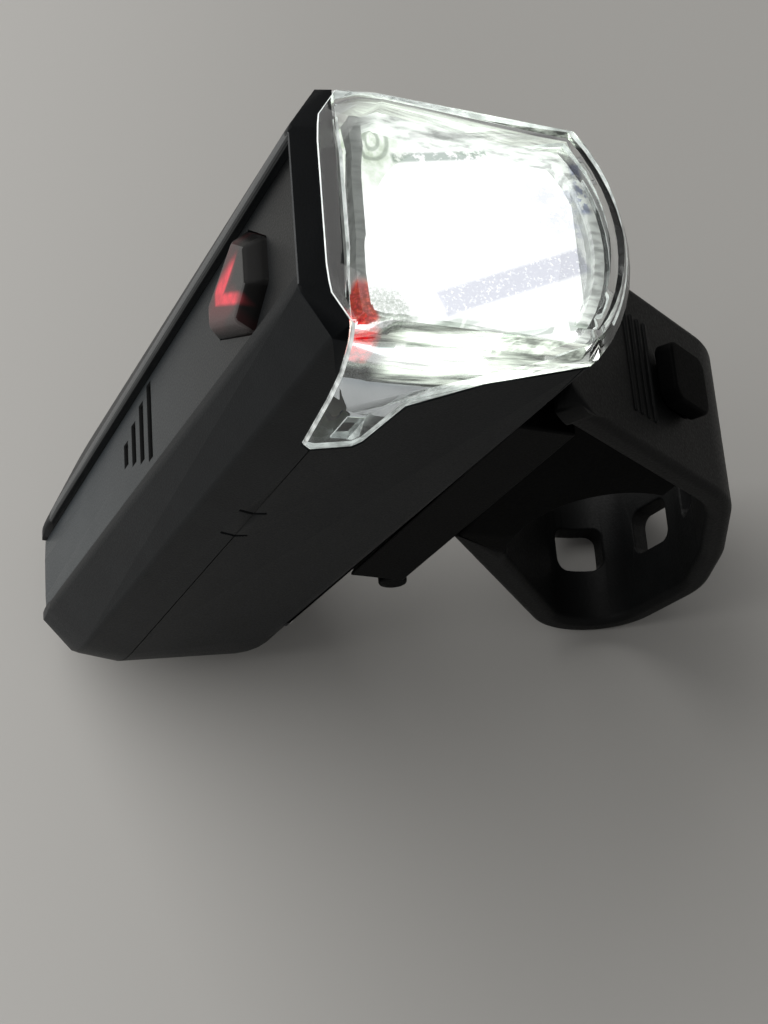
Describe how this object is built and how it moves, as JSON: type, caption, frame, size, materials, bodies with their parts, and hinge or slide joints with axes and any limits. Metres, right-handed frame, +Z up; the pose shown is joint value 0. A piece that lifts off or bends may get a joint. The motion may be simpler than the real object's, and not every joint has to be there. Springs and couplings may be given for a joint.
{
  "type": "bike headlight",
  "caption": "Angular rechargeable bike headlight with wrap-round clear lens, push button, slide bracket and a holed rubber strap that hooks round the handlebar.",
  "frame": {"origin": "centre of the footprint box, on the table that the lamp's tail and strap stand on", "axes": "+Z up from the table, +Y along the handlebar to the rider's left, +X away from the top panel towards the strap"},
  "size_m": [0.082, 0.0286, 0.0921],
  "materials": {
    "shell_black": "fine matte",
    "panel_grey": "fine matte",
    "button_grey": "satin, lets light through",
    "switch_black": "plain",
    "switch_stem": "plain",
    "led_red": "clear red",
    "board_green": "solder mask",
    "steel": "plated",
    "cell_wrap": "shrink film",
    "rubber_black": "matte",
    "seal_clear": "milky clear silicone",
    "lens_clear": "clear polished plastic",
    "mirror": "metallised",
    "led_white": "phosphor dome",
    "board_white": "white mask",
    "aluminium": "plain",
    "bracket_black": "fine matte",
    "strap_rubber": "matte"
  },
  "bodies": {
    "lamp": {"upper_shell": "shell_black", "lower_shell": "shell_black", "top_panel": "panel_grey", "switch_body": "switch_black", "indicator_leds": "led_red", "main_board": "board_green", "board_screws": "steel", "battery_cell": "cell_wrap", "usb_socket": "steel", "lens": "lens_clear", "lens_gasket": "seal_clear", "reflector": "mirror", "led_emitter": "led_white", "led_board": "board_white", "heat_sink": "aluminium", "housing_screws": "steel", "seam_seal": "rubber_black", "bracket": "bracket_black", "saddle": "bracket_black", "saddle_screw": "steel", "strap": "strap_rubber"},
    "button": {"button": "button_grey"},
    "switch_stem": {"switch_stem": "switch_stem"},
    "usb_cover": {"usb_cover": "rubber_black"},
    "release_tongue": {"release_tongue": "bracket_black"}
  },
  "joints": [
    {"name": "button_press", "type": "slide", "parent": "lamp", "child": "button", "axis": [0.9165, 0, -0.3999], "range_m": [0, 0.0006], "stiffness_N_per_m": 800},
    {"name": "stem_press", "type": "slide", "parent": "lamp", "child": "switch_stem", "axis": [0.9165, 0, -0.3999], "range_m": [0, 0.0006]},
    {"name": "cover_hinge", "type": "hinge", "parent": "lamp", "child": "usb_cover", "pos_m": [-0.01584, 0.01295, 0.02765], "axis": [-0.3999, 0, -0.9165], "range_deg": [0, 100]},
    {"name": "tongue_flex", "type": "hinge", "parent": "lamp", "child": "release_tongue", "pos_m": [0.0076, 0, 0.03268], "axis": [0, -1, 0], "range_deg": [0, 8], "stiffness_Nm_per_rad": 0.4}
  ],
  "couplings": [
    {"joint": "stem_press", "follows": "button_press", "ratio": 1}
  ]
}
